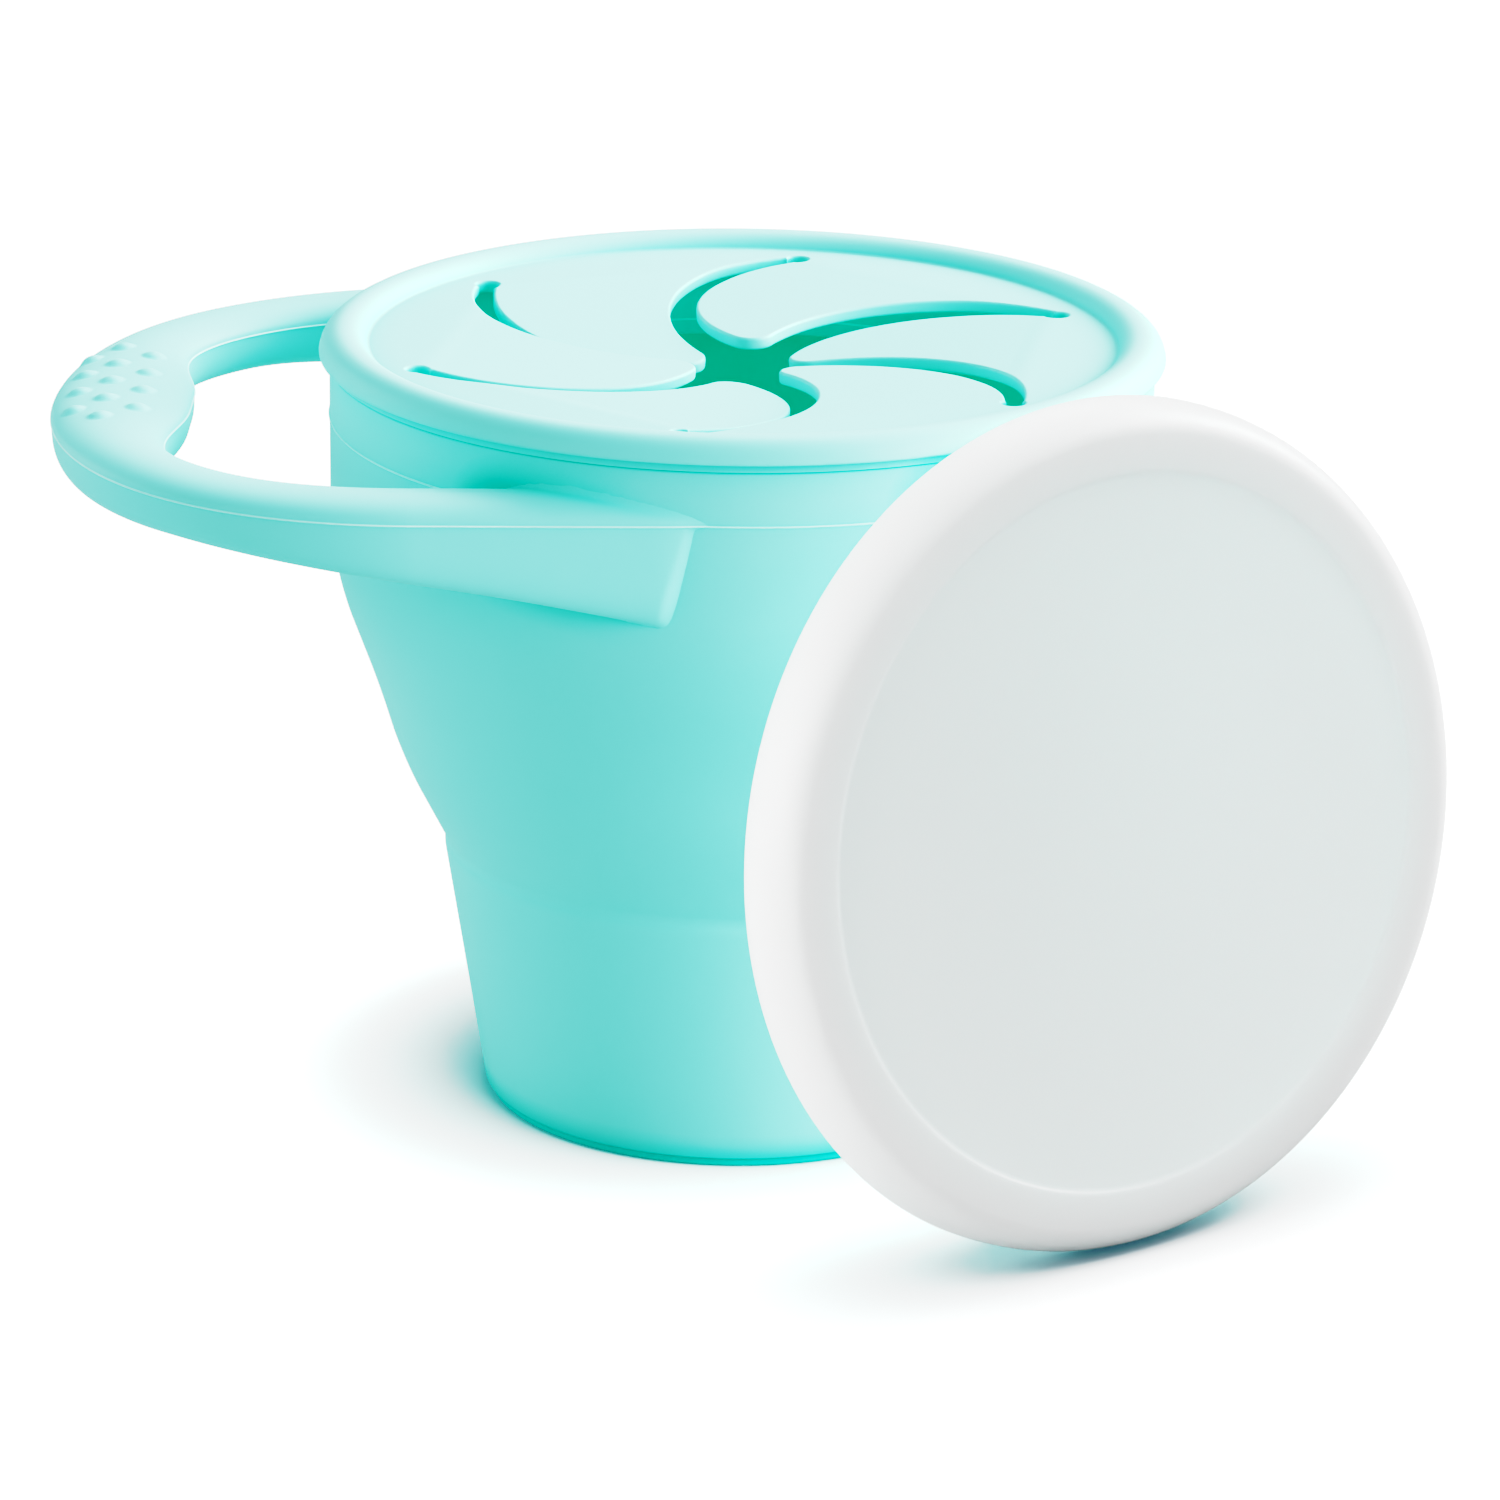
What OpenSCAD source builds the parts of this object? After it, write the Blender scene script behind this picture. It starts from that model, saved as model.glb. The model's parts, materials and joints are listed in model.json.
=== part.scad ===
// Collapsible silicone snack cup with a loop handle, a snack guard with six flaps and a loose lid.
// Sizes are in millimetres. The origin is the centre of the foot on the table, +Z points up,
// and the handle points along -X. The lid leans against the rim, face outwards.

/* [Cup] */
// Outer diameter at the foot
foot_d = 58.2; // [54:0.2:62]
// Outer diameter where the base cup meets the lower fold
base_top_d = 67.2; // [64:0.2:70]
// Outer diameter where the lower fold meets the middle ring
ring_low_d = 77.9; // [75:0.1:80]
// Outer diameter where the middle ring meets the upper fold
ring_top_d = 83.2; // [81:0.1:85]
// Outer diameter where the upper fold meets the rim band
band_low_d = 90.6; // [88:0.1:92]
// Outer diameter of the straight rim band
band_d = 93.6; // [93:0.1:95]
// Inner diameter of the mouth, which grips the guard or the lid
mouth_d = 85.6; // [84:0.1:86]
// Height of the base cup
base_top = 28.5; // [25:0.5:32]
// Height of the middle ring's lower edge
ring_low = 41.2; // [39:0.1:43]
// Height of the middle ring's upper edge
ring_top = 50; // [48:0.5:52]
// Height of the rim band's lower edge
band_low = 60; // [58:0.5:62]
// Height of the rim, where the guard sits
band_top = 87.1; // [86:0.1:88]
// Wall of the stiff rings
wall = 2.2; // [1.8:0.1:2.6]
// Wall of the two folds
fold_wall = 1.3; // [1:0.1:1.6]
// Thickness of the cup's floor
floor_t = 2.5; // [2:0.1:3.5]

/* [Handle] */
// Reach of the handle's tip from the cup's axis
reach = 78.2; // [74:0.1:82]
// Half of the spread of the two arms
half_spread = 47.9; // [47.5:0.1:48.5]
// Length of the straight arms from the cup's axis
arm_len = 35.5; // [32:0.5:40]
// Width of the arms, seen from above
arm_w = 9.3; // [8:0.1:10]
// Width of the grip at the tip
grip_w = 15.6; // [14:0.1:17]
// Height of the mould's parting line, where the handle is widest
parting_z = 81; // [80:0.1:82]
// Height of the grip above the parting line
grip_rise = 2.2; // [2:0.1:2.6]
// Height of the arms above the parting line
arm_rise = 2.6; // [2.2:0.1:3]
// Depth of the grip below the parting line
grip_depth = 4.7; // [3.5:0.1:5.5]
// Depth below the parting line that the arms grow to beside the cup
root_depth = 13.8; // [12:0.1:15]
// Diameter of a grip bump
bump_d = 2.9; // [2:0.1:3.2]
// Height of a grip bump
bump_h = 0.5; // [0.3:0.1:0.6]
// Spacing of the grip bumps along the grip
bump_pitch = 7.4; // [6.5:0.1:7.5]

/* [Snack guard] */
// Outer diameter of the rolled bead
bead_d = 96; // [95:0.1:97]
// Width of the rolled bead, twice its height
bead_w = 5.7; // [5:0.1:6]
// Height of the bead's under side
bead_z = 88.1; // [88:0.1:88.4]
// Height of the sheet's upper face
sheet_top = 89.2; // [89:0.1:89.5]
// Thickness of the sheet and its flaps
sheet_t = 1.5; // [1.2:0.1:1.8]
// Diameter of the circle through the slits' end holes
hole_circle_d = 77.4; // [76:0.2:78]
// Diameter of an end hole
hole_d = 2.6; // [2.2:0.1:3]
// Turn of the first end hole from +X
hole_turn = 20.5; // [0:0.5:59.5]
// Width of a slit beside its end hole
slit_end_w = 1.9; // [1.6:0.1:2.2]
// Width of a slit towards the middle
slit_w = 3; // [2.6:0.1:3.2]
// Radius of the arc that a slit follows
slit_arc_r = 20.5; // [20:0.1:21]
// Radius of a flap's tip
tip_r = 2.6; // [2:0.1:3]
// Depth of the guard's skirt below the rim
skirt_h = 8; // [6:0.5:9]

/* [Lid] */
// Outer diameter of the lid
lid_d = 94.5; // [94:0.1:96]
// Depth of the lid's side wall
lid_h = 6.7; // [6:0.1:8]
// Depth of the edge rounding, along the lid's axis
lid_edge_h = 6.2; // [4:0.1:6.2]
// Width of the edge rounding, across the face
lid_edge_w = 3.5; // [3:0.1:5]
// Diameter of the shallow round recess in the lid's face
lid_recess_d = 79.6; // [76:0.2:82]
// Depth of that recess
lid_recess_h = 0.35; // [0.2:0.05:0.5]
// Outer diameter of the plug ring behind the lid
plug_d = 85; // [84:0.1:85.2]
// Depth of the plug ring from the lid's face
plug_h = 12.5; // [11:0.5:13]
// Thickness of the lid's face
lid_t = 2.4; // [2:0.1:3]
// Direction that the leaning lid's face looks in, from +X
lid_facing = -54.3; // [-60:0.1:-50]
// Lean of the lid back from upright
lid_lean = 6.4; // [6:0.1:8]
// Place of the lid's centre along X
lid_x = 43.1; // [43:0.1:50]
// Place of the lid's centre along Y
lid_y = -49.7; // [-56:0.1:-49.7]

/* [Hidden] */

round_fn = 96;
foot_h = 0.9;
foot_inset = 0.7;
floor_round = 3;
shoulder_h = 6.5;
lip_h = 7;
lip_slope_h = 2.5;
flange_over = 0.2;
flange_d = band_d + flange_over;
skirt_gap = 0.2;
skirt_t = 1.6;
hinge_gap = 0.15;
flap_count = 6;
flap_step = 360 / flap_count;
// The flaps have taken a slight set, so each droops a little differently from the sheet
flap_droop = [2.4, 6.8, 4.4, 6.3, 4.2, 5.4];
slit_steps = 18;
tip_steps = 10;
knuckle_hole_gap = 0.2;
knuckle_slit_gap = 0.8;
arm_end = 4;
arm_steps = 7;
bend_steps = 40;
bend_power = 2.15;
grip_spread = 19.2;
swell_power = 2.8;
flare_start = 63;
flare_power = 1.6;
section_steps = 20;
low_power = 4;
root_power = 7;
// The bumps stand in three straight columns, each this far in from the grip's tip
bump_columns = [3, 6.4, 10.3];
bump_middle = 1.9;
bump_root = 1;
bump_sides = 12;
lid_wall = 2;
plug_t = 1.5;

silicone_colour = [0.55, 0.89, 0.86];
sheet_colour = [0.78, 0.95, 0.94];
lid_colour = [0.93, 0.94, 0.94];

function turned(p, a) = [p.x * cos(a) - p.y * sin(a), p.x * sin(a) + p.y * cos(a)];

// Points of a quarter of an ellipse about [cx, cz], from angle a0 to a1
function ellipse_arc(cx, cz, rx, rz, a0, a1, steps) =
    [for (i = [0:steps]) let (a = a0 + (a1 - a0) * i / steps) [cx + rx * cos(a), cz + rz * sin(a)]];

module turned_wall(outline)
    rotate_extrude($fn = round_fn) polygon(outline);

// A tapered wall between two heights, with the same thickness all the way up
module cone_wall(d_low, d_top, z_low, z_top, t)
    turned_wall([[d_low / 2 - t, z_low], [d_low / 2, z_low], [d_top / 2, z_top], [d_top / 2 - t, z_top]]);

// Cup

module base_cup()
    color(silicone_colour)
    turned_wall(concat(
        [[0, 0], [foot_d / 2 - foot_inset, 0], [foot_d / 2 - foot_inset, foot_h], [foot_d / 2, foot_h],
         [base_top_d / 2, base_top], [base_top_d / 2 - wall, base_top]],
        ellipse_arc(foot_d / 2 - wall - floor_round, floor_t + floor_round, floor_round, floor_round,
                    0, -90, 6),
        [[0, floor_t]]));

module lower_fold()
    color(silicone_colour)
    cone_wall(base_top_d, ring_low_d, base_top, ring_low, fold_wall);

module middle_ring()
    color(silicone_colour)
    cone_wall(ring_low_d, ring_top_d, ring_low, ring_top, wall);

module upper_fold()
    color(silicone_colour)
    cone_wall(ring_top_d, band_low_d, ring_top, band_low, fold_wall);

module rim_band() {
    shoulder_w = (band_d - band_low_d) / 2;
    shoulder_top = band_low + shoulder_h;
    color(silicone_colour)
    turned_wall(concat(
        [[band_low_d / 2 - wall, band_low]],
        ellipse_arc(band_low_d / 2, shoulder_top, shoulder_w, shoulder_h, -90, 0, 8),
        [[band_d / 2, band_top], [mouth_d / 2, band_top], [mouth_d / 2, band_top - lip_h],
         [band_d / 2 - wall, band_top - lip_h - lip_slope_h], [band_d / 2 - wall, shoulder_top]]));
}

// Handle

// Outer edge of the bend, seen from above: half of a slightly squared ellipse
function bend_point(a) =
    [-arm_len - (reach - arm_len) * pow(abs(cos(a)), 2 / bend_power),
     half_spread * sign(sin(a)) * pow(abs(sin(a)), 2 / bend_power)];

// Outer edge of an arm, a straight line that runs on to the cup
function arm_point(side, i) =
    let (x = arm_end + (arm_len - arm_end) * i / arm_steps)
    [-x, side * (half_spread - (half_spread - band_d / 2) * (1 - x / arm_len))];

outer_edge = concat(
    [for (i = [0:arm_steps - 1]) arm_point(-1, i)],
    [for (i = [0:bend_steps]) bend_point(-90 + 180 * i / bend_steps)],
    [for (i = [arm_steps - 1:-1:0]) arm_point(1, i)]);
stations = len(outer_edge);

function edge_direction(i) =
    let (d = outer_edge[min(i + 1, stations - 1)] - outer_edge[max(i - 1, 0)]) d / norm(d);

function handle_width(y) = arm_w + (grip_w - arm_w) * exp(-pow(abs(y) / grip_spread, swell_power));

// Share of the way from the grip, 0, to the arms' roots, 1
function root_share(x) = max(0, min(1, 1 + x / flare_start));

// Eases evenly from 0 to 1
function eased(t) = t * t * (3 - 2 * t);

function top_rise(x) = grip_rise + (arm_rise - grip_rise) * eased(min(1, 2 * root_share(x)));

function signed_power(v, power) = sign(v) * pow(abs(v), 2 / power);

// One cross-section: half an ellipse on top, and below the parting line a squared half ellipse
// that grows deeper and boxier towards the cup
function handle_section(i) =
    let (edge = outer_edge[i], along = edge_direction(i), inward = [along.y, -along.x],
         half_w = handle_width(edge.y) / 2, share = root_share(edge.x),
         depth = grip_depth + (root_depth - grip_depth) * pow(share, flare_power),
         power = low_power + (root_power - low_power) * share)
    [for (j = [0:section_steps - 1])
        let (a = 360 * j / section_steps, low = sin(a) < 0,
             across = half_w * (1 + signed_power(cos(a), low ? power : 2)),
             rise = low ? depth * signed_power(sin(a), power) : top_rise(edge.x) * sin(a),
             p = edge + inward * across)
        [p.x, p.y, parting_z + rise]];

module handle_loop() {
    points = [for (i = [0:stations - 1]) each handle_section(i)];
    function at(i, j) = i * section_steps + j % section_steps;
    sides = [for (i = [0:stations - 2], j = [0:section_steps - 1])
        each [[at(i, j), at(i, j + 1), at(i + 1, j + 1)], [at(i, j), at(i + 1, j + 1), at(i + 1, j)]]];
    last = stations - 1;
    first_end = [for (j = [1:section_steps - 2]) [0, j + 1, j]];
    last_end = [for (j = [1:section_steps - 2]) [at(last, 0), at(last, j), at(last, j + 1)]];
    polyhedron(points, concat(sides, first_end, last_end));
}

// Outer edge of the bend at a place along Y
function bend_x(y) =
    -arm_len - (reach - arm_len) * pow(1 - pow(abs(y) / half_spread, bend_power), 1 / bend_power);

// Height of the grip's upper face
function grip_top(x, y) =
    let (across = 2 * (x - bend_x(y)) / handle_width(y) - 1)
    parting_z + top_rise(x) * sqrt(max(0, 1 - across * across));

// Slope of that face, from the heights half a millimetre to either side
function grip_slope(x, y) = grip_top(x + 0.5, y) - grip_top(x - 0.5, y);

// A low dome that stands square to the grip's upper face
module grip_bump(x, y) {
    ball_r = (pow(bump_d / 2, 2) + pow(bump_h, 2)) / (2 * bump_h);
    translate([x, y, grip_top(x, y)])
        rotate([0, -atan(grip_slope(x, y)), 0])
        rotate_extrude($fn = bump_sides)
        polygon(concat(
            [[0, -bump_root], [bump_d / 2, -bump_root]],
            ellipse_arc(0, bump_h - ball_r, ball_r, ball_r, acos(bump_d / 2 / ball_r), 90, 4)));
}

// The cup's wall as a prism with flat sides, which just clears the round wall
module wall_prism() {
    corner_r = band_d / 2 / cos(180 / round_fn);
    translate([0, 0, band_low])
        linear_extrude(band_top - band_low)
        polygon([for (i = [0:round_fn - 1]) corner_r * [cos(360 * i / round_fn), sin(360 * i / round_fn)]]);
}

module carry_handle()
    color(silicone_colour)
    difference() {
        union() {
            handle_loop();
            for (row = [-2:2])
                grip_bump(bump_columns[1] - reach, bump_middle + row * bump_pitch);
            for (row = [-1.5:1.5], column = [0, 2])
                grip_bump(bump_columns[column] - reach, bump_middle + row * bump_pitch);
        }
        wall_prism();
    }

// Snack guard

hole_r = hole_circle_d / 2;
hinge_r = hole_r * cos(flap_step / 2);
sheet_mid = sheet_top - sheet_t / 2;
// The slit's arc leaves the end hole in line with the flap's hinge
slit_start = flap_step / 2;
slit_centre = [hole_r - slit_arc_r * cos(slit_start), -slit_arc_r * sin(slit_start)];
next_centre = turned(slit_centre, flap_step);

// The tip's circle touches both slits' edges
tip_centre =
    let (near = slit_arc_r + slit_w / 2 + tip_r, far = slit_arc_r - slit_w / 2 - tip_r,
         gap = norm(next_centre - slit_centre), along = (next_centre - slit_centre) / gap,
         a = (near * near - far * far + gap * gap) / (2 * gap), b = sqrt(near * near - a * a))
    slit_centre + along * a + [-along.y, along.x] * b;

function heading(from, to) = atan2(to.y - from.y, to.x - from.x);

function reversed(points) = [for (i = [len(points) - 1:-1:0]) points[i]];

near_end = heading(slit_centre, tip_centre);
far_end = heading(next_centre, tip_centre) + (heading(next_centre, tip_centre) < 0 ? 360 : 0);

// Half the slit's width, which grows over the first third of its length
function slit_half(share) = (slit_end_w + (slit_w - slit_end_w) * min(1, 3 * share)) / 2;

// Points along one edge of a slit, from its end hole: side is 1 for the outer edge, -1 for the inner
function slit_edge(centre, from, to, side) =
    [for (i = [0:slit_steps])
        let (share = i / slit_steps, a = from + (to - from) * share,
             r = slit_arc_r + side * slit_half(share))
        centre + r * [cos(a), sin(a)]];

// Outline of a flap between the slit that starts at 0 degrees and the next one round
function flap_outline() =
    let (tip_from = near_end + 180, tip_to = far_end)
    concat(
        slit_edge(slit_centre, slit_start, near_end, 1),
        [for (i = [1:tip_steps - 1]) let (a = tip_from + (tip_to - tip_from) * i / tip_steps)
            tip_centre + tip_r * [cos(a), sin(a)]],
        reversed(slit_edge(next_centre, slit_start + flap_step, far_end, -1)));

module end_hole()
    translate([hole_r, 0]) circle(d = hole_d, $fn = 32);

module flap_plate()
    difference() {
        intersection() {
            polygon(flap_outline());
            rotate(flap_step / 2) translate([-hinge_r, -2 * hole_r]) square([2 * hinge_r, 4 * hole_r]);
        }
        end_hole();
        rotate(flap_step) end_hole();
    }

// A flap's root is rounded like a knuckle, so that it turns beside the sheet
module flap_knuckle() {
    half_chord = hole_r * sin(flap_step / 2);
    far_stop = half_chord - hole_d / 2 - knuckle_hole_gap;
    near_stop = half_chord - sqrt(slit_arc_r * slit_end_w) - knuckle_slit_gap;
    rotate(flap_step / 2) translate([hinge_r, -near_stop, 0]) rotate([-90, 0, 0])
        cylinder(h = near_stop + far_stop, d = sheet_t, $fn = 32);
}

// Flap number k, bent down by its set about the line between its two end holes
module flap(k)
    color(sheet_colour)
    rotate([0, 0, hole_turn + k * flap_step + flap_step / 2])
    translate([hinge_r, 0, sheet_mid]) rotate([0, -flap_droop[k], 0]) translate([-hinge_r, 0, 0])
    rotate([0, 0, -flap_step / 2]) {
        translate([0, 0, -sheet_t / 2]) linear_extrude(sheet_t) flap_plate();
        flap_knuckle();
    }

module slit_mouth()
    polygon(concat(
        slit_edge(slit_centre, slit_start, near_end, 1),
        reversed(slit_edge(slit_centre, slit_start, near_end, -1))));

module guard_ring() {
    bead_r = bead_d / 2 - bead_w / 2;
    bead_rise = sheet_top - bead_z;
    inner_end = 180 - asin(bead_rise / (bead_w / 2));
    skirt_r = mouth_d / 2 - skirt_gap;
    hex_r = hole_r + (sheet_t / 2 + hinge_gap) / cos(flap_step / 2);
    color(sheet_colour)
    union() {
        turned_wall(concat(
            ellipse_arc(bead_r, bead_z, bead_w / 2, bead_w / 2, 0, inner_end, 16),
            [[skirt_r - skirt_t, sheet_top], [skirt_r - skirt_t, band_top - skirt_h],
             [skirt_r, band_top - skirt_h], [skirt_r, band_top], [flange_d / 2, band_top],
             [flange_d / 2, bead_z]]));
        translate([0, 0, sheet_top - sheet_t])
        linear_extrude(sheet_t)
        difference() {
            circle(r = skirt_r - skirt_t / 2, $fn = round_fn);
            rotate(hole_turn) circle(r = hex_r, $fn = flap_count);
            for (k = [0:flap_count - 1])
                rotate(hole_turn + k * flap_step) {
                    end_hole();
                    slit_mouth();
                }
        }
    }
}

// Lid

lid_outline = concat(
    [[0, lid_recess_h], [lid_recess_d / 2 - lid_recess_h, lid_recess_h], [lid_recess_d / 2, 0]],
    ellipse_arc(lid_d / 2 - lid_edge_w, lid_edge_h, lid_edge_w, -lid_edge_h, 90, 0, 10),
    [[lid_d / 2, lid_h], [lid_d / 2 - lid_wall, lid_h], [lid_d / 2 - lid_wall, lid_t],
     [plug_d / 2, lid_t], [plug_d / 2, plug_h], [plug_d / 2 - plug_t, plug_h],
     [plug_d / 2 - plug_t, lid_t], [0, lid_t]]);

// Height of the lid's centre, with its lowest edge on the table
lid_z = max([for (p = lid_outline) p.x * cos(lid_lean) + p.y * sin(lid_lean)]);

module lid()
    color(lid_colour)
    translate([lid_x, lid_y, lid_z])
    rotate([0, 90 - lid_lean, lid_facing])
    mirror([0, 0, 1])
    turned_wall(lid_outline);

base_cup();
lower_fold();
middle_ring();
upper_fold();
rim_band();
carry_handle();
guard_ring();
flap(0);  // flap_1
flap(1);  // flap_2
flap(2);  // flap_3
flap(3);  // flap_4
flap(4);  // flap_5
flap(5);  // flap_6
lid();
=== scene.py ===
# %% [markdown]
# A collapsible snack cup for a toddler: a soft silicone cup with a loop handle, a silicone guard
# with six flaps that a small hand pushes through, and a hard white lid that leans against the rim.
# This lesson dresses the working model of the cup. The model is loaded first and stays as it is,
# and every new piece is built in its frame, in metres, so nothing has to be fitted afterwards.

# %% Load the working model
import json
import math

import bmesh
import bpy
import numpy as np
from mathutils import Matrix, Vector


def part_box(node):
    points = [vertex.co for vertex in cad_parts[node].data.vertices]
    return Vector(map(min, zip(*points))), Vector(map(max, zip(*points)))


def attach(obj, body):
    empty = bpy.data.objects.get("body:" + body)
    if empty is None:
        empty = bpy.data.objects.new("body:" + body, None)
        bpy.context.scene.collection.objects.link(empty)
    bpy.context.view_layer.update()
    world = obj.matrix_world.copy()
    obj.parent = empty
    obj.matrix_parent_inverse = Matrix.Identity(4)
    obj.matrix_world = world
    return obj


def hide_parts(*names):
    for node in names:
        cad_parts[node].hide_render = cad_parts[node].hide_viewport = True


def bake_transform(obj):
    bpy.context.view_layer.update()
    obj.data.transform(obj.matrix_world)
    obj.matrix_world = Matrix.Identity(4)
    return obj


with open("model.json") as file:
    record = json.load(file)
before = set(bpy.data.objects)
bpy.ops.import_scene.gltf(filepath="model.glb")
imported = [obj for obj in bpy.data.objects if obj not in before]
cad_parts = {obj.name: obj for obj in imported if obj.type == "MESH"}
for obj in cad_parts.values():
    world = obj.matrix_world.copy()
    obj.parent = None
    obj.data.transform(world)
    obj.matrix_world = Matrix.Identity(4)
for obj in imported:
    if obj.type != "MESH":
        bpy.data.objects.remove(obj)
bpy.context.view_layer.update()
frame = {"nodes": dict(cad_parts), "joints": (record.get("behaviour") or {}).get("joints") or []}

# %% [markdown]
# Real drawings of such a cup are in millimetres, so sizes below are millimetres times MM. What the
# model already knows is read from it: a ring's outer radius and its two heights are the corners
# of its box, and the line that a flap bends about is its joint.

# %% Sizes that come from the model
MM = 0.001
UP = Vector((0, 0, 1))


def radius_of(node):
    """Outer radius of a round node that stands on the cup's axis."""
    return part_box(node)[1].y


def heights_of(node):
    """Lowest and highest place of a node."""
    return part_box(node)[0].z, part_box(node)[1].z


def joint_of(name):
    """The joint with that name, as the model's record says it."""
    return next(j for j in frame["joints"] if j["name"] == name)


base_top = heights_of("base_cup")[1]
ring_low, ring_top = heights_of("middle_ring")
band_low, band_top = heights_of("rim_band")
band_radius = radius_of("rim_band")
ring_heights = (base_top, ring_low, ring_top, band_low, band_top)
print("heights of the cup's rings:", [round(height / MM, 1) for height in ring_heights])

# %% [markdown]
# Most of this object is round, so most of it is turned: an outline in the plane of X and Z is spun
# about Z, as clay is on a wheel. An outline here is a list of corners, each with the length over
# which it is softened. Blender rounds the corners of a bare chain of edges with a vertex bevel,
# which keeps the list short, and the spin's merge closes the seam.

# %% A turned shape from an outline with soft corners
TURN_STEPS = 192


def chain(bm, places, closed):
    """A chain of edges through places, closed to a ring if asked. Returns its vertices."""
    verts = [bm.verts.new(p) for p in places]
    for one, two in zip(verts, verts[1:] + verts[:1] if closed else verts[1:]):
        bm.edges.new((one, two))
    return verts


def soften(bm, verts, lengths, segments):
    """Rounds each corner of a chain over its own length, in place."""
    for vert, length in zip(verts, lengths):
        if length:
            bmesh.ops.bevel(bm, geom=[vert], offset=length, segments=segments, profile=0.5,
                            affect="VERTICES", material=-1, offset_type="OFFSET")


def turned(outline, closed=True, segments=8, start=0.0, steps=TURN_STEPS):
    """Spins an outline of (radius, height, soft length) about Z and closes its seam and poles."""
    bm = bmesh.new()
    verts = chain(bm, [(r, 0, z) for r, z, _ in outline], closed)
    soften(bm, verts, [length for _, _, length in outline], segments)
    bmesh.ops.rotate(bm, verts=bm.verts, cent=(0, 0, 0), matrix=Matrix.Rotation(start, 3, "Z"))
    bmesh.ops.spin(bm, geom=bm.verts[:] + bm.edges[:], cent=(0, 0, 0), axis=UP, angle=math.tau,
                   steps=steps, use_merge=True)
    bmesh.ops.remove_doubles(bm, verts=bm.verts, dist=0.002 * MM)
    bmesh.ops.recalc_face_normals(bm, faces=bm.faces)
    return bm


# %% [markdown]
# A finished shape becomes an object at the origin. Smooth shading makes a turned wall look round,
# and edges sharper than a set angle stay crisp. Large flat faces beside narrow bevels would pick
# up a false gradient, so a Weighted Normal modifier lets the large faces decide.

# %% From shape to object
SHARP = math.radians(40)


def new_piece(name, bm, sharp=SHARP, weighted=False):
    """An object in the scene that holds the shape, with smooth shading."""
    mesh = bpy.data.meshes.new(name)
    bm.to_mesh(mesh)
    bm.free()
    mesh.shade_smooth()
    mesh.set_sharp_from_angle(angle=sharp)
    piece = bpy.data.objects.new(name, mesh)
    bpy.context.scene.collection.objects.link(piece)
    if weighted:
        piece.modifiers.new("even flat faces", "WEIGHTED_NORMAL").keep_sharp = True
    print(f"{name}: {len(mesh.polygons)} faces")
    return piece


# %% [markdown]
# The cup is one moulding of silicone. Three stiff rings with thick walls are joined by two thin
# folds, which turn inside out when the cup is pressed flat. One outline for the whole moulding,
# outer wall and inner wall, keeps the light flowing over the joins. The slight step a little above
# the table is the foot, and the fine ridge near the top is where the mould's two halves met. The
# crease over the base has two soft corners close together, each given as a distance out and up.

# %% The outline of the whole cup
FOOT_RADIUS = 29.1 * MM
FOOT_HEIGHT = 0.9 * MM
FOOT_INSET = 0.55 * MM
MOUTH_RADIUS = 42.8 * MM
LIP_HEIGHT = 7 * MM
STIFF_WALL = 2.2 * MM
THIN_WALL = 1.3 * MM
FLOOR = 2.5 * MM
PARTING = 81 * MM
PARTING_RISE = 0.14 * MM
PARTING_HALF = 0.13 * MM
SHOULDER = 6.5 * MM
CREASE = (0.25 * MM, 1.2 * MM)
CREASE_TOP = (0.2 * MM, 2.7 * MM)
WALL_EASE = 0.8 * MM
LIP_SLOPE = 2.5 * MM
FLOOR_INSET = 0.4 * MM

base_radius = radius_of("base_cup")
ring_low_radius = radius_of("lower_fold")
ring_top_radius = radius_of("middle_ring")
band_low_radius = radius_of("upper_fold")

outer_wall = [
    (FOOT_RADIUS - FOOT_INSET, 0, 0.25 * MM),
    (FOOT_RADIUS - FOOT_INSET, FOOT_HEIGHT, 0.15 * MM),
    (FOOT_RADIUS, FOOT_HEIGHT, 0.35 * MM),
    (base_radius + CREASE[0], base_top + CREASE[1], 0.5 * MM),
    (base_radius + CREASE_TOP[0], base_top + CREASE_TOP[1], 0.7 * MM),
    (ring_low_radius, ring_low, 4 * MM),
    (ring_top_radius, ring_top, 3 * MM),
    (band_low_radius, band_low, 2 * MM),
    (band_radius, band_low + SHOULDER, 3 * MM),
    (band_radius, PARTING - PARTING_HALF, 0),
    (band_radius + PARTING_RISE, PARTING, 0),
    (band_radius, PARTING + PARTING_HALF, 0),
    (band_radius, band_top, 0.3 * MM),
]
inner_wall = [
    (MOUTH_RADIUS, band_top, 0.4 * MM),
    (MOUTH_RADIUS, band_top - LIP_HEIGHT, 0.8 * MM),
    (band_radius - STIFF_WALL, band_top - LIP_HEIGHT - LIP_SLOPE, 1 * MM),
    (band_radius - STIFF_WALL, band_low + SHOULDER, 2.5 * MM),
    (band_low_radius - THIN_WALL, band_low, 1.5 * MM),
    (ring_top_radius - THIN_WALL, ring_top + WALL_EASE, 0.5 * MM),
    (ring_top_radius - STIFF_WALL, ring_top - WALL_EASE, 0.5 * MM),
    (ring_low_radius - STIFF_WALL, ring_low + WALL_EASE, 0.5 * MM),
    (ring_low_radius - THIN_WALL, ring_low - WALL_EASE, 0.5 * MM),
    (base_radius - THIN_WALL, base_top + WALL_EASE, 0.5 * MM),
    (base_radius - STIFF_WALL, base_top - WALL_EASE, 0.5 * MM),
    (FOOT_RADIUS - STIFF_WALL + FLOOR_INSET, FLOOR, 3 * MM),
    (0, FLOOR, 0),
]
cup_outline = [(0, 0, 0)] + outer_wall + inner_wall
print("corners in the cup's outline:", len(cup_outline))

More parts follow.
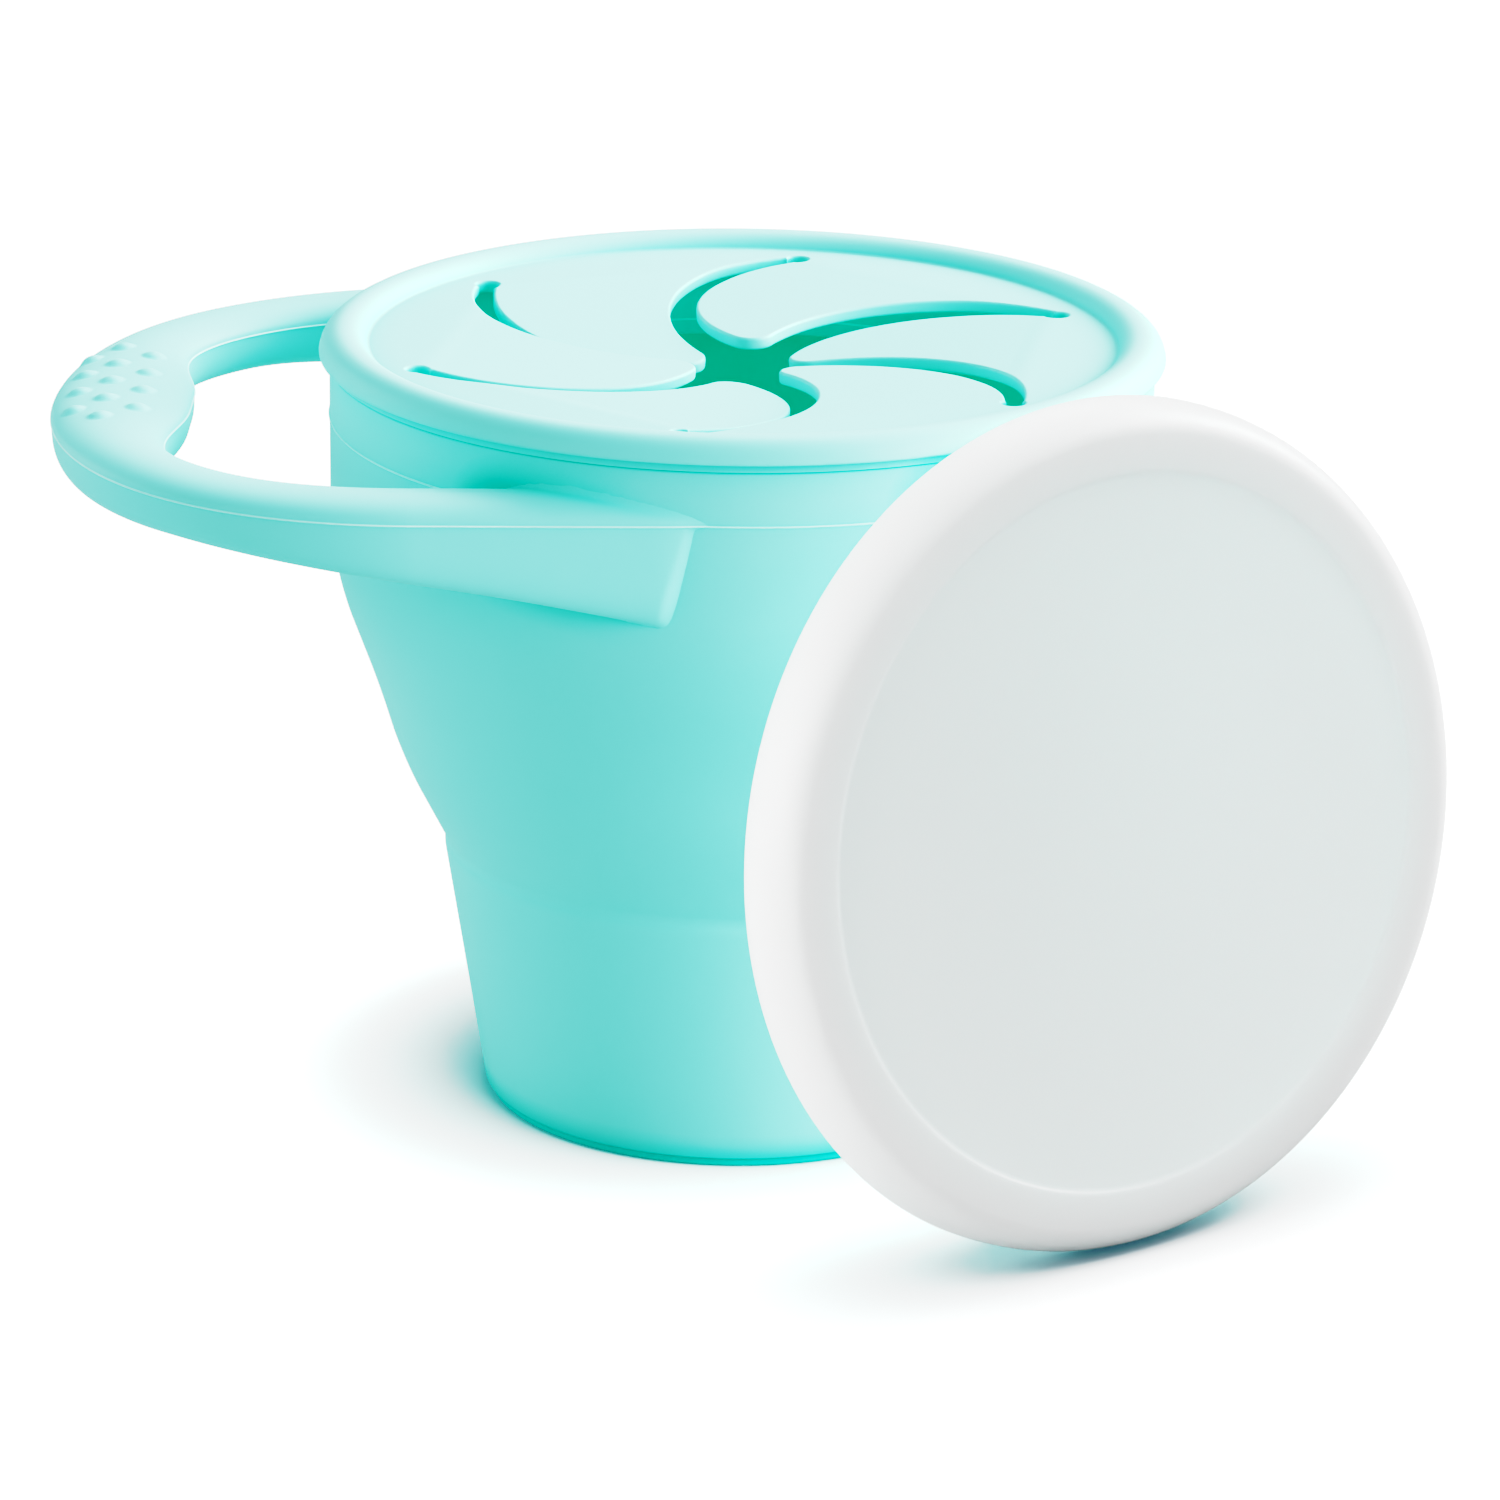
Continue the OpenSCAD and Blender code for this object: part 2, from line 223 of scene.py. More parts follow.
# %% [markdown]
# The moulding is cut into its rings and folds, because the rings move stiffly and the folds bend.
# A fold's piece reaches a little past its soft corners into the stiff walls, so that every cut
# crosses a straight stretch of wall, where light shows no seam. Each cut is closed with a bridge.

# %% Cut the cup into rings and folds
CUT_BELOW = 3.1 * MM
CUT_ABOVE = 4.1 * MM
CUT_EXACT = 0.001 * MM


def cut_between(shape, low, high):
    """A copy of a turned shell between two heights, its cuts closed. None leaves an end as it is."""
    bm = shape.copy()
    for height, below in ((low, True), (high, False)):
        if height is None:
            continue
        cut = bmesh.ops.bisect_plane(bm, geom=bm.verts[:] + bm.edges[:] + bm.faces[:], dist=CUT_EXACT,
                                     plane_co=(0, 0, height), plane_no=UP, clear_inner=below,
                                     clear_outer=not below)
        rims = [e for e in cut["geom_cut"] if isinstance(e, bmesh.types.BMEdge)]
        bmesh.ops.bridge_loops(bm, edges=rims)
    bmesh.ops.recalc_face_normals(bm, faces=bm.faces)
    return bm


cup_shape = turned(cup_outline, closed=False, segments=14)
cuts = [None, base_top - CUT_BELOW, ring_low + CUT_ABOVE, ring_top - CUT_BELOW,
        band_low + SHOULDER + CUT_BELOW, None]
names = ["cup_base", "lower_fold_skin", "middle_ring_skin", "upper_fold_skin", "rim_band_skin"]
cup_pieces = {name: new_piece(name, cut_between(cup_shape, low, high))
              for name, low, high in zip(names, cuts, cuts[1:])}
cup_shape.free()

# %% Let the rings ride, and leave the folds where they stand
for name, body, node in (("cup_base", "base", "base_cup"),
                         ("middle_ring_skin", "middle", "middle_ring"),
                         ("rim_band_skin", "rim", "rim_band")):
    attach(cup_pieces[name], body)
    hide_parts(node)
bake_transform(cup_pieces["lower_fold_skin"])
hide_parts("lower_fold")
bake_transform(cup_pieces["upper_fold_skin"])
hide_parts("upper_fold")

# %% [markdown]
# The handle is moulded with the rim. Seen from above it is a slightly squared half ellipse that
# runs on into two straight arms, which meet the cup's side at a glancing angle. A ring of vertices
# is extruded from station to station and shaped at each one, which is what a sweep does, but here
# the section may change on the way. The stations lie closer together at the grip, because its small
# bumps need more vertices than the plain arms do.

# %% The handle's route
REACH = 78.2 * MM
HALF_SPREAD = 47.9 * MM
ARM_LENGTH = 35.5 * MM
BEND_POWER = 2.15
GRIP_TURN = 0.42
ARM_STATIONS = 90
SIDE_STATIONS = 70
GRIP_STATIONS = 120


def spaced(start, end, count):
    """Evenly spaced values from start on, without the end."""
    return [start + (end - start) * i / count for i in range(count)]


def signed_power(value, power):
    """A squared cosine or sine: power 2 is round, and a larger one is nearer to a box."""
    return math.copysign(abs(value) ** (2 / power), value)


def arm_point(side, x):
    """Outer edge of a straight arm at a distance x behind the cup's axis."""
    return Vector((-x, side * (band_radius + (HALF_SPREAD - band_radius) * x / ARM_LENGTH), 0))


def bend_point(angle):
    """Outer edge of the bend, at -90 to 90 degrees from one arm to the other."""
    return Vector((-ARM_LENGTH - (REACH - ARM_LENGTH) * signed_power(math.cos(angle), BEND_POWER),
                   HALF_SPREAD * signed_power(math.sin(angle), BEND_POWER), 0))


arm_places = spaced(0, ARM_LENGTH, ARM_STATIONS)
bend_angles = (spaced(-math.pi / 2, -GRIP_TURN, SIDE_STATIONS)
               + spaced(-GRIP_TURN, GRIP_TURN, GRIP_STATIONS)
               + spaced(GRIP_TURN, math.pi / 2, SIDE_STATIONS) + [math.pi / 2])
route = ([arm_point(-1, x) for x in arm_places] + [bend_point(angle) for angle in bend_angles]
         + [arm_point(1, x) for x in reversed(arm_places)])
print("stations along the handle:", len(route))

# %% [markdown]
# The section's widest points lie on the parting line. Above it is half an ellipse, and below it a
# squared half ellipse that grows deeper and boxier towards the cup, like a rib. Each half is drawn
# finely and then divided into equal lengths, so that flat sides and tight corners get vertices
# alike. The mould's line is a narrow ridge with a vertex on its crest and one at either foot.

# %% The section at one station
ARM_WIDTH = 9.3 * MM
GRIP_WIDTH = 15.6 * MM
GRIP_SPREAD = 19.2 * MM
SWELL_POWER = 2.8
GRIP_RISE = 2.2 * MM
ARM_RISE = 2.6 * MM
GRIP_DEPTH = 4.7 * MM
ROOT_DEPTH = 13.8 * MM
FLARE_START = 63 * MM
FLARE_POWER = 1.6
LOW_POWER = 4
ROOT_POWER = 7
TOP_POINTS = 64
LOW_POINTS = 76
FINE_POINTS = 400


def handle_width(y):
    """Narrow arms, and a grip that swells at the tip."""
    return ARM_WIDTH + (GRIP_WIDTH - ARM_WIDTH) * math.exp(-((abs(y) / GRIP_SPREAD) ** SWELL_POWER))


def root_share(x):
    """Share of the way from the grip, 0, to the cup's axis, 1."""
    return min(1, max(0, 1 + x / FLARE_START))


def smooth_step(low, high, value):
    """0 below low, 1 above high, with an even ease between them."""
    t = min(1, max(0, (value - low) / (high - low)))
    return t * t * (3 - 2 * t)


def top_rise(x):
    """Height above the parting line: the arms are a little higher than the grip."""
    return GRIP_RISE + (ARM_RISE - GRIP_RISE) * smooth_step(0, 0.5, root_share(x))


def half_section(half, height, power, count):
    """Half a squared ellipse in equal lengths, as places across and up, from outside to inside."""
    angle = np.linspace(0, np.pi, FINE_POINTS)
    across = half * np.sign(np.cos(angle)) * np.abs(np.cos(angle)) ** (2 / power)
    up = height * np.abs(np.sin(angle)) ** (2 / power)
    run = np.append(0, np.cumsum(np.hypot(np.diff(across), np.diff(up))))
    places = np.linspace(0, run[-1], count + 1)
    return list(zip(np.interp(places, run, across), np.interp(places, run, up)))


def section(edge, inward):
    """The ring of points at a station: over the top to the inside, and back under."""
    share = root_share(edge.x)
    half = handle_width(edge.y) / 2
    depth = GRIP_DEPTH + (ROOT_DEPTH - GRIP_DEPTH) * share ** FLARE_POWER
    top = half_section(half, top_rise(edge.x), 2, TOP_POINTS)
    low = half_section(half, depth, LOW_POWER + (ROOT_POWER - LOW_POWER) * share, LOW_POINTS)
    crest = half + PARTING_RISE
    pairs = [(crest, 0), (half, PARTING_HALF)] + top[1:-1] + [(-half, PARTING_HALF), (-crest, 0)]
    pairs += [(-half, -PARTING_HALF)] + [(across, -down) for across, down in low[-2:0:-1]]
    pairs += [(half, -PARTING_HALF)]
    return [edge + inward * (half - across) + UP * (PARTING + up) for across, up in pairs]


# %% [markdown]
# At the root an arm runs into the cup's side. Its hidden part is kept inside the wall, a small
# fillet lifts its top and its underside where they meet the wall, and its end sinks into the
# wall. Below the parting line the rib ends sooner, in a soft upright slope.

# %% Fit the arms to the cup
HIDDEN = 0.6 * MM
FILLET = 0.8 * MM
SINK = 0.25 * MM
SINK_FROM, SINK_TO = -9 * MM, -3 * MM
RIB_END = 8.5 * MM
RIB_LEAN = 0.27
RIB_SOFT = 1.3 * MM
RIB_BELOW = 0.6 * MM
TOP_LIFT_POWER = 2
LOW_LIFT_POWER = 8


def fit_to_wall(point):
    """Moves a point of the handle so that the arms grow out of the cup's side."""
    radius = point.xy.length
    drop = PARTING - point.z
    radius -= SINK * smooth_step(SINK_FROM, SINK_TO, point.x)
    end = -RIB_END + RIB_LEAN * (ROOT_DEPTH - drop)
    cut = smooth_step(0, RIB_BELOW, drop) * smooth_step(end - RIB_SOFT, end + RIB_SOFT, point.x)
    buried = band_radius - HIDDEN / 2
    radius -= max(0, radius - buried) * cut
    gap = min(FILLET, max(0, radius - band_radius))
    lift = FILLET - math.sqrt(FILLET ** 2 - (FILLET - gap) ** 2)
    point.z += lift * min(1, max(0, -drop) / ARM_RISE) ** TOP_LIFT_POWER
    point.z -= lift * min(1, max(0, drop) / ROOT_DEPTH) ** LOW_LIFT_POWER
    point.xy = point.xy.normalized() * max(radius, band_radius - HIDDEN)
    return point


# %% Extrude the ring from station to station
def place_ring(verts, i):
    """Moves a ring of vertices to its section at station i."""
    along = (route[min(i + 1, len(route) - 1)] - route[max(i - 1, 0)]).normalized()
    for vert, point in zip(verts, section(route[i], Vector((along.y, -along.x, 0)))):
        vert.co = fit_to_wall(point)


handle_shape = bmesh.new()
ring_points = len(section(route[0], UP))
ring = bmesh.ops.create_circle(handle_shape, segments=ring_points, radius=ARM_WIDTH)["verts"]
place_ring(ring, 0)
edges = handle_shape.edges[:]
for station in range(1, len(route)):
    grown = bmesh.ops.extrude_edge_only(handle_shape, edges=edges)["geom"]
    ring = [g for g in grown if isinstance(g, bmesh.types.BMVert)]
    new_ring = set(ring)
    edges = [g for g in grown if isinstance(g, bmesh.types.BMEdge) and new_ring.issuperset(g.verts)]
    place_ring(ring, station)
bmesh.ops.holes_fill(handle_shape, edges=[e for e in handle_shape.edges if e.is_boundary])
bmesh.ops.recalc_face_normals(handle_shape, faces=handle_shape.faces)
print("handle faces:", len(handle_shape.faces))

# %% [markdown]
# Small bumps in staggered columns help wet fingers to hold the grip. Each is a low dome that is
# pushed out of the top along the surface's own direction, so it stays one skin with the handle. A
# separate dome on the grip would show a hard line around its foot.

# %% Grip bumps
BUMP_RADIUS = 1.45 * MM
BUMP_HEIGHT = 0.5 * MM
BUMP_PITCH = 7.4 * MM
BUMP_MIDDLE = 1.9 * MM
BUMP_COLUMNS = [(3 * MM, 4), (6.4 * MM, 5), (10.3 * MM, 4)]  # distance from the tip, and count


def grip_place(x, y):
    """A point on top of the grip."""
    bend = (1 - (abs(y) / HALF_SPREAD) ** BEND_POWER) ** (1 / BEND_POWER)
    inset = x + ARM_LENGTH + (REACH - ARM_LENGTH) * bend
    across = 2 * inset / handle_width(y) - 1
    return Vector((x, y, PARTING + top_rise(x) * math.sqrt(max(0, 1 - across ** 2))))


bumps = [grip_place(inset - REACH, BUMP_MIDDLE + (i - (count - 1) / 2) * BUMP_PITCH)
         for inset, count in BUMP_COLUMNS for i in range(count)]
handle_shape.normal_update()
grip_verts = [v for v in handle_shape.verts
              if v.co.x < -FLARE_START and v.co.z > PARTING + PARTING_HALF]
pushes = []
for vert in grip_verts:
    near = min((vert.co - bump).length for bump in bumps) / BUMP_RADIUS
    pushes.append(vert.normal * BUMP_HEIGHT * max(0, 1 - near ** 2))
for vert, push in zip(grip_verts, pushes):
    vert.co += push
print("bumps on the grip:", len(bumps))
handle = new_piece("carry_handle_skin", handle_shape)
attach(handle, "rim")
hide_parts("carry_handle")

# %% [markdown]
# The guard is a second moulding that sits in the mouth. A rolled bead stands on a thin flange, a
# skirt below grips the cup's inside, and a flat sheet closes the mouth. The sheet's fixed part ends
# in a six-sided opening just outside the flaps' bend lines, so the turned ring's inner wall is
# pushed from a circle to a hexagon after the spin.

# %% The guard's turned ring
FLAP_COUNT = 6
FLAP_STEP = 360 / FLAP_COUNT
HOLE_TURN = 20.5
BEAD_RADIUS = 48 * MM
BEAD_HALF = 2.85 * MM
BEAD_LOW = 88.1 * MM
FLANGE_RADIUS = 46.9 * MM
SHEET_TOP = 89.2 * MM
SHEET = 1.5 * MM
SKIRT_GAP = 0.2 * MM
SKIRT_WALL = 1.6 * MM
HEX_MARGIN = 1.8 * MM
BEAD_ARC = 14

hinge = joint_of("flap_1_bend")
hinge_radius = Vector(hinge["pos_m"]).xy.length
hex_apothem = hinge_radius + HEX_MARGIN
guard_low = heights_of("guard_ring")[0]
bead_middle = BEAD_RADIUS - BEAD_HALF
bead_inner = bead_middle - math.sqrt(BEAD_HALF ** 2 - (SHEET_TOP - BEAD_LOW) ** 2)
skirt_outer = MOUTH_RADIUS - SKIRT_GAP
first_angle = math.degrees(math.asin((SHEET_TOP - BEAD_LOW) / BEAD_HALF))


def bead_point(angle):
    """A point of the bead's rolled top, its angle measured from the outside."""
    a = math.radians(angle)
    return bead_middle + BEAD_HALF * math.cos(a), BEAD_LOW + BEAD_HALF * math.sin(a), 0


bead_top = [bead_point(180 - first_angle - (180 - first_angle) * i / BEAD_ARC)
            for i in range(1, BEAD_ARC)]
guard_outline = (
    [(hex_apothem, SHEET_TOP - SHEET, 0), (hex_apothem, SHEET_TOP, 0),
     (bead_inner, SHEET_TOP, 0.3 * MM)]
    + bead_top
    + [(BEAD_RADIUS, BEAD_LOW + 0.3 * MM, 0), (BEAD_RADIUS, BEAD_LOW, 0.3 * MM),
       (FLANGE_RADIUS, BEAD_LOW, 0.12 * MM), (FLANGE_RADIUS, band_top, 0.12 * MM),
       (skirt_outer, band_top, 0.15 * MM), (skirt_outer, guard_low, 0.4 * MM),
       (skirt_outer - SKIRT_WALL, guard_low, 0.4 * MM),
       (skirt_outer - SKIRT_WALL, SHEET_TOP - SHEET, 0.4 * MM)])
guard_shape = turned(guard_outline, start=math.radians(HOLE_TURN), segments=5)
for vert in guard_shape.verts:
    if vert.co.xy.length < hex_apothem + 0.1 * MM:
        turn = math.degrees(math.atan2(vert.co.y, vert.co.x)) - HOLE_TURN
        from_middle = turn % FLAP_STEP - FLAP_STEP / 2
        vert.co.xy *= 1 / math.cos(math.radians(from_middle))
guard = new_piece("guard_ring_skin", guard_shape, weighted=True)
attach(guard, "guard")
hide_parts("guard_ring")

# %% [markdown]
# A flap lies between two curved slits. Each slit starts at a round end hole, leaves it in line with
# the bend line, and curls in towards the middle on an arc. The flap's outline is drawn flat: along
# the hexagon, round one end hole, down the inner edge of one slit, round the tip, back up the outer
# edge of the other slit and round its end hole. All six are the same drawing, turned.

# %% Plane drawing of the slits
HOLE_CIRCLE = 38.7 * MM
HOLE_RADIUS = 1.3 * MM
SLIT_ARC = 20.5 * MM
SLIT_START = 30
SLIT_END_WIDTH = 1.9 * MM
SLIT_WIDTH = 3 * MM
TIP_RADIUS = 2.6 * MM
SLIT_STEPS = 64
TIP_STEPS = 18
HOLE_STEPS = 16


def polar(centre, radius, angle):
    """A point at a distance and an angle in degrees from a centre."""
    return centre + radius * Vector((math.cos(math.radians(angle)), math.sin(math.radians(angle))))


def heading(start, end):
    """Angle in degrees of the line from start to end."""
    return math.degrees(math.atan2(end.y - start.y, end.x - start.x))


def arc(centre, radius, start, end, steps):
    """Points along an arc, both ends included."""
    return [polar(centre, radius, start + (end - start) * i / steps) for i in range(steps + 1)]


middle = Vector((0, 0))
hole_a = polar(middle, HOLE_CIRCLE, 0)
hole_b = polar(middle, HOLE_CIRCLE, FLAP_STEP)
slit_a = polar(hole_a, -SLIT_ARC, SLIT_START)
slit_b = Matrix.Rotation(math.radians(FLAP_STEP), 2) @ slit_a
to_bend = polar(middle, 1, FLAP_STEP / 2).to_3d()

# %% The tip's circle touches both slits
to_outer = SLIT_ARC + SLIT_WIDTH / 2 + TIP_RADIUS
to_inner = SLIT_ARC - SLIT_WIDTH / 2 - TIP_RADIUS
between = slit_b - slit_a
along = (to_outer ** 2 - to_inner ** 2 + between.length ** 2) / (2 * between.length)
aside = math.sqrt(to_outer ** 2 - along ** 2)
side_way = between.normalized().orthogonal()
tip = slit_a + between.normalized() * along + side_way * aside
end_a = heading(slit_a, tip)
end_b = heading(slit_b, tip) % 360
print("tip circle at mm:", [round(v / MM, 2) for v in tip], "slit ends:", round(end_a), round(end_b))


def slit_edge(centre, start, end, side):
    """One edge of a slit from its end hole: side 1 is the outer edge. The slit widens at first."""
    points = []
    for i in range(SLIT_STEPS + 1):
        share = i / SLIT_STEPS
        half = (SLIT_END_WIDTH + (SLIT_WIDTH - SLIT_END_WIDTH) * min(1, 3 * share)) / 2
        points.append(polar(centre, SLIT_ARC + side * half, start + (end - start) * share))
    return points


def outside(points, hole):
    """The points that lie outside an end hole."""
    return [p for p in points if (p - hole).length > HOLE_RADIUS * 1.05]


# %% The flap's outline
outer_edge = outside(slit_edge(slit_a, SLIT_START, end_a, 1), hole_a)
inner_edge = outside(slit_edge(slit_b, SLIT_START + FLAP_STEP, end_b, -1), hole_b)
hex_corner = hex_apothem / math.cos(math.radians(FLAP_STEP / 2))
flap_outline = (
    [polar(middle, hex_corner, 0), polar(middle, hex_corner, FLAP_STEP)]
    + arc(hole_b, HOLE_RADIUS, FLAP_STEP, heading(hole_b, inner_edge[0]), HOLE_STEPS)
    + inner_edge
    + arc(tip, TIP_RADIUS, end_b - 360 if end_b > 180 else end_b, end_a + 180 - 360, TIP_STEPS)[1:-1]
    + outer_edge[::-1]
    + arc(hole_a, HOLE_RADIUS, heading(hole_a, outer_edge[0]), 0, HOLE_STEPS // 2))
print("points in the flap's outline:", len(flap_outline))


# %% [markdown]
# The drawing becomes a plate with a fill and a solidify. Its rims along the slits, holes and tip
# are rounded with a bevel, but not where the plate runs on into the guard's sheet. Close cuts in
# line with the bend let it curve there. Soft flaps keep a slight set from being pushed in, and each
# one droops a little differently, so the plate is bent about its joint before it is placed.

# %% Plate, rounded rims and cuts for the bend
RIM_ROUND = 0.38 * MM
BEND_OUT = 1.1 * MM
BEND_IN = 2.6 * MM
BEND_CUTS = 14
FLAP_DROOP = [2.4, 6.8, 4.4, 6.3, 4.2, 5.4]


def is_rim(edge):
    """True on edges along the slits, holes and tip, at the plate's upper or lower face."""
    along_sheet = abs(edge.verts[0].co.z - edge.verts[1].co.z) < 0.01 * MM
    own_edge = min(v.co.xy.length for v in edge.verts) < HOLE_CIRCLE + HOLE_RADIUS - 0.01 * MM
    return along_sheet and own_edge and edge.calc_face_angle(0) > 1


def flap_plate():
    """The flat plate of one flap, between the end holes at 0 and 60 degrees."""
    bm = bmesh.new()
    chain(bm, [(p.x, p.y, SHEET_TOP) for p in flap_outline], closed=True)
    bmesh.ops.contextual_create(bm, geom=bm.edges[:])
    bmesh.ops.recalc_face_normals(bm, faces=bm.faces)
    if bm.faces[:][0].normal.z < 0:
        bmesh.ops.reverse_faces(bm, faces=bm.faces)
    bmesh.ops.solidify(bm, geom=bm.faces[:], thickness=SHEET)
    bmesh.ops.recalc_face_normals(bm, faces=bm.faces)
    bmesh.ops.bevel(bm, geom=[e for e in bm.edges if is_rim(e)], offset=RIM_ROUND, segments=4,
                    profile=0.5, affect="EDGES", material=-1)
    for i in range(BEND_CUTS + 1):
        place = hinge_radius + BEND_OUT - (BEND_OUT + BEND_IN) * i / BEND_CUTS
        bmesh.ops.bisect_plane(bm, geom=bm.verts[:] + bm.edges[:] + bm.faces[:], dist=CUT_EXACT,
                               plane_co=to_bend * place, plane_no=to_bend)
    return bm


# %% Bend each flap by its set and place it
def bend_share(place):
    """0 on the sheet's side of the bend and 1 on the flap's side, easing in and out."""
    return smooth_step(0, BEND_OUT + BEND_IN, hinge_radius + BEND_OUT - place)


def droop(bm, degrees):
    """Bends a flat flap down about its bend line."""
    pivot = to_bend * hinge_radius + UP * hinge["pos_m"][2]
    for vert in bm.verts:
        angle = math.radians(degrees) * bend_share(vert.co.dot(to_bend))
        turn = Matrix.Rotation(angle, 3, to_bend.cross(UP))
        vert.co = pivot + turn @ (vert.co - pivot)


flaps = []
for number, degrees in enumerate(FLAP_DROOP, start=1):
    shape = flap_plate()
    droop(shape, degrees)
    placed = HOLE_TURN + (number - 1) * FLAP_STEP
    bmesh.ops.rotate(shape, verts=shape.verts, cent=(0, 0, 0),
                     matrix=Matrix.Rotation(math.radians(placed), 3, "Z"))
    flap = new_piece(f"flap_{number}_skin", shape, weighted=True)
    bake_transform(flap)
    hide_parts(f"flap_{number}")
    flaps.append(flap)

# %% [markdown]
# The lid is hard white plastic: a disc with a softly rounded edge, a shallow round recess in its
# face and a plug ring behind that presses into the mouth. It is turned lying flat, tipped to the
# direction in which the model's lid slides off, and set down so that its lowest edge is on the
# table. LID_EDGE says how far the rounding reaches inwards, and how far down.

# %% The lid
LID_RADIUS = 47.25 * MM
LID_EDGE = (3.5 * MM, 6.2 * MM)
LID_DEPTH = 6.7 * MM
LID_WALL = 2 * MM
LID_FACE = 2.4 * MM
RECESS_RADIUS = 39.8 * MM
RECESS_DEPTH = 0.35 * MM
PLUG_RADIUS = 42.5 * MM
PLUG_WALL = 1.5 * MM
PLUG_DEPTH = 12.5 * MM
RECESS_SLOPE = 0.4 * MM
LID_PLACE = Vector((43.1, -49.7, 0)) * MM
LID_ARC = 18


def lid_edge_point(angle):
    """A point of the lid's rounded edge, from the face at 0 degrees to the side at 90."""
    a = math.radians(angle)
    return (LID_RADIUS - LID_EDGE[0] * (1 - math.sin(a)), -LID_EDGE[1] * (1 - math.cos(a)), 0)


lid_outline = (
    [(0, -RECESS_DEPTH, 0), (RECESS_RADIUS - RECESS_SLOPE, -RECESS_DEPTH, 0.3 * MM),
     (RECESS_RADIUS, 0, 0.3 * MM)]
    + [lid_edge_point(90 * i / LID_ARC) for i in range(LID_ARC + 1)]
    + [(LID_RADIUS, -LID_DEPTH, 0.3 * MM), (LID_RADIUS - LID_WALL, -LID_DEPTH, 0.4 * MM),
       (LID_RADIUS - LID_WALL, -LID_FACE, 0.4 * MM), (PLUG_RADIUS, -LID_FACE, 0.4 * MM),
       (PLUG_RADIUS, -PLUG_DEPTH, 0.5 * MM), (PLUG_RADIUS - PLUG_WALL, -PLUG_DEPTH, 0.5 * MM),
       (PLUG_RADIUS - PLUG_WALL, -LID_FACE, 0.8 * MM), (0, -LID_FACE, 0)])
lid_shape = turned(lid_outline, closed=False, segments=6)
lid_way = Vector(joint_of("lid_pull")["axis"])
bmesh.ops.rotate(lid_shape, verts=lid_shape.verts, cent=(0, 0, 0),
                 matrix=lid_way.to_track_quat("Z", "Y").to_matrix())
lid_lowest = min(v.co.z for v in lid_shape.verts)
bmesh.ops.translate(lid_shape, verts=lid_shape.verts, vec=LID_PLACE - UP * lid_lowest)
lid = new_piece("lid_shell", lid_shape, weighted=True)
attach(lid, "lid")
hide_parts("lid")

# %% [markdown]
# Finishes come next. Silicone from a mould is matt with a fine, even grain, and it has a faint bloom
# that brightens slopes seen at a glance, which is what sheen does. The same grain, at other sizes
# and strengths, is on the lid, so it is one node group with named inputs and outputs.

# %% A node group for fine mould grain
def new_group(name, inputs, outputs):
    """An empty shader node group with named sockets: (name, kind, default)."""
    group = bpy.data.node_groups.new(name, "ShaderNodeTree")
    for label, kind, default in inputs:
        group.interface.new_socket(label, in_out="INPUT", socket_type=kind).default_value = default
    for label, kind in outputs:
        group.interface.new_socket(label, in_out="OUTPUT", socket_type=kind)
    return group, group.nodes.new("NodeGroupInput"), group.nodes.new("NodeGroupOutput")


def add(tree, kind, **settings):
    """A node with some of its own settings made at once."""
    node = tree.nodes.new(kind)
    for key, value in settings.items():
        setattr(node, key, value)
    return node


grain, grain_in, grain_out = new_group(
    "mould_grain",
    [("Scale", "NodeSocketFloat", 2500.0), ("Roughness", "NodeSocketFloat", 0.5),
     ("Spread", "NodeSocketFloat", 0.08)],
    [("Roughness", "NodeSocketFloat"), ("Height", "NodeSocketFloat")])
place = add(grain, "ShaderNodeTexCoord")
speckle = add(grain, "ShaderNodeTexNoise")
speckle.inputs["Detail"].default_value = 2
cloud = add(grain, "ShaderNodeTexNoise")
cloud.inputs["Scale"].default_value = 60
spread = add(grain, "ShaderNodeMapRange")
centred = add(grain, "ShaderNodeMath", operation="MULTIPLY_ADD")
grain.links.new(place.outputs["Object"], speckle.inputs["Vector"])
grain.links.new(place.outputs["Object"], cloud.inputs["Vector"])
grain.links.new(grain_in.outputs["Scale"], speckle.inputs["Scale"])
spread.inputs["To Min"].default_value = -0.5
spread.inputs["To Max"].default_value = 0.5
grain.links.new(cloud.outputs["Fac"], spread.inputs["Value"])
grain.links.new(spread.outputs["Result"], centred.inputs[0])
grain.links.new(grain_in.outputs["Spread"], centred.inputs[1])
grain.links.new(grain_in.outputs["Roughness"], centred.inputs[2])
grain.links.new(centred.outputs["Value"], grain_out.inputs["Roughness"])
grain.links.new(speckle.outputs["Fac"], grain_out.inputs["Height"])
print("group sockets:", [item.name for item in grain.interface.items_tree])


# %% A material with that grain
GRAIN_DEPTH = 0.02 * MM


def grained(name, colour, roughness, scale, bump, ior):
    """A material whose roughness and bump come from the grain group. Returns it and its shader."""
    material = bpy.data.materials.new(name)
    material.use_nodes = True
    tree = material.node_tree
    shader = tree.nodes["Principled BSDF"]
    texture = add(tree, "ShaderNodeGroup", node_tree=grain)
    texture.inputs["Scale"].default_value = scale
    texture.inputs["Roughness"].default_value = roughness
    tree.links.new(texture.outputs["Roughness"], shader.inputs["Roughness"])
    relief = add(tree, "ShaderNodeBump")
    relief.inputs["Strength"].default_value = bump
    relief.inputs["Distance"].default_value = GRAIN_DEPTH
    tree.links.new(texture.outputs["Height"], relief.inputs["Height"])
    tree.links.new(relief.outputs["Normal"], shader.inputs["Normal"])
    shader.inputs["Base Color"].default_value = (*colour, 1)
    shader.inputs["IOR"].default_value = ior
    return material, shader


# %% [markdown]
# Colours are blended in several of the materials, and a plain value often has to be turned into a
# share from 0 to 1 first. Each of these is one node with its links, so each is a small helper.

